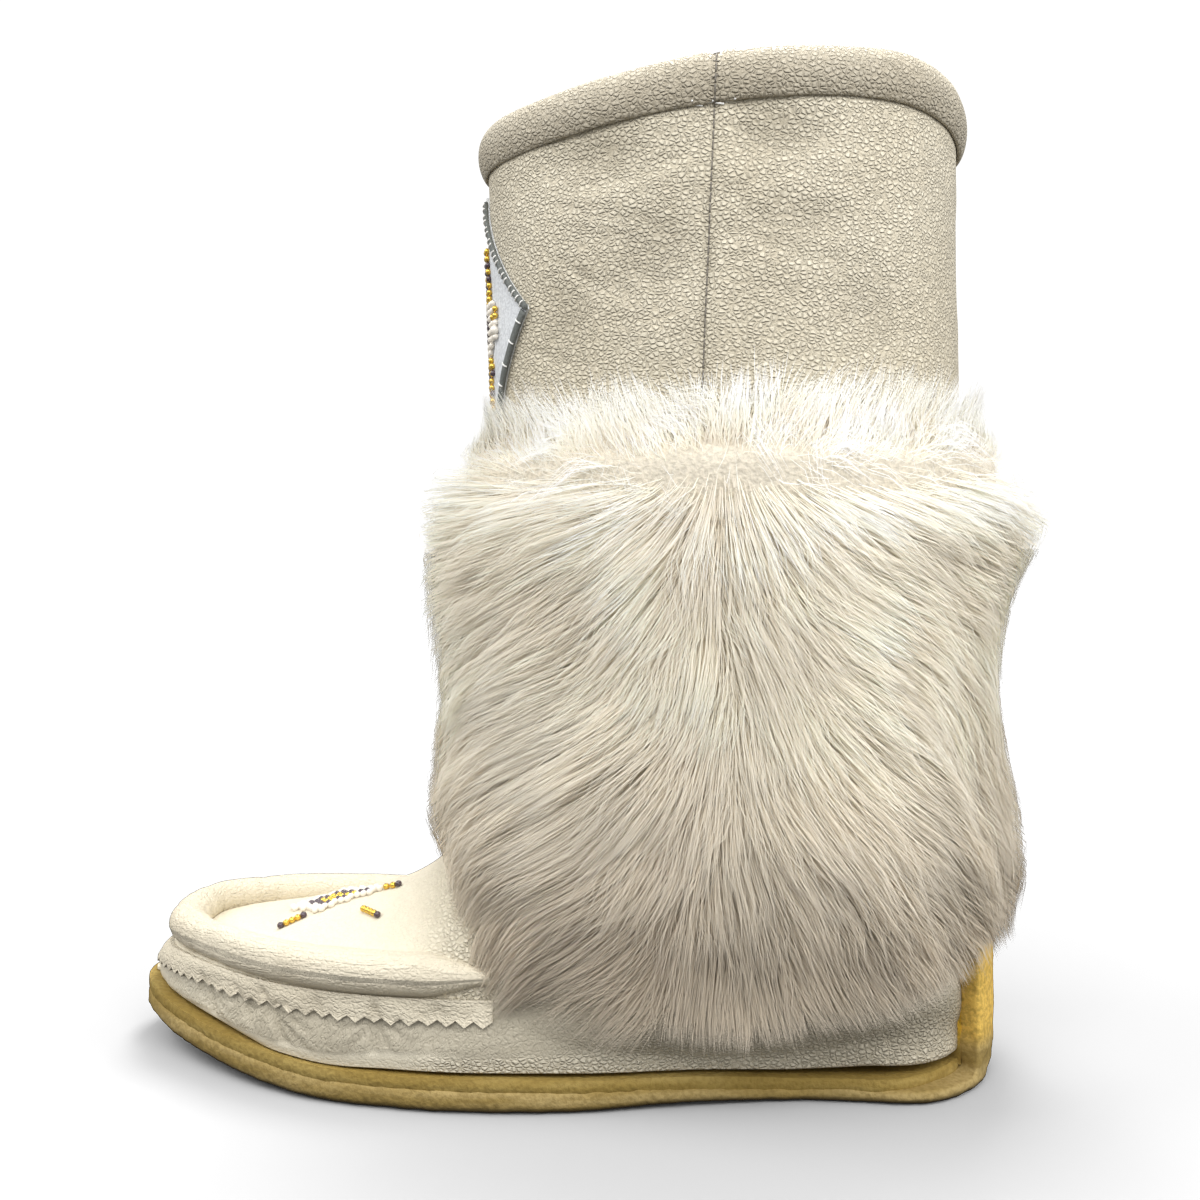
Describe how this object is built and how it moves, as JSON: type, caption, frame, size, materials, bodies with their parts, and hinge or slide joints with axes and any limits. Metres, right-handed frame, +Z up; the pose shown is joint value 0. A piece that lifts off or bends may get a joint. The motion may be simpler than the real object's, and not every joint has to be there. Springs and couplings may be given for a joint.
{
  "type": "mukluk boot",
  "caption": "Tall soft left boot: moccasin foot, padded toe roll, pinked band, straight shaft with rolled collar, wide fur cuff and crepe sole turned up the heel.",
  "frame": {"origin": "on the floor under the heel, on the line from heel to toe", "axes": "+X to the heel's back (the toe points along -X), -Y to the outer side of the foot, +Z up"},
  "size_m": [0.278, 0.1298, 0.2858],
  "materials": {
    "crepe": "natural crepe rubber, matt and granular",
    "midsole": "darker ochre rubber, matt",
    "leather": "soft cream leather with a fine pebbled grain",
    "trim_leather": "soft cream leather, rolled and pinked",
    "panel_leather": "smooth pale grey leather",
    "felt": "pale wool felt",
    "fur": "long white fur"
  },
  "bodies": {
    "root": {"outsole": "crepe", "midsole": "midsole", "upper": "leather", "insole": "felt", "collar_roll": "trim_leather", "vamp_roll": "trim_leather", "pinked_band": "trim_leather", "front_panel": "panel_leather", "fur_cuff": "fur"}
  },
  "joints": []
}
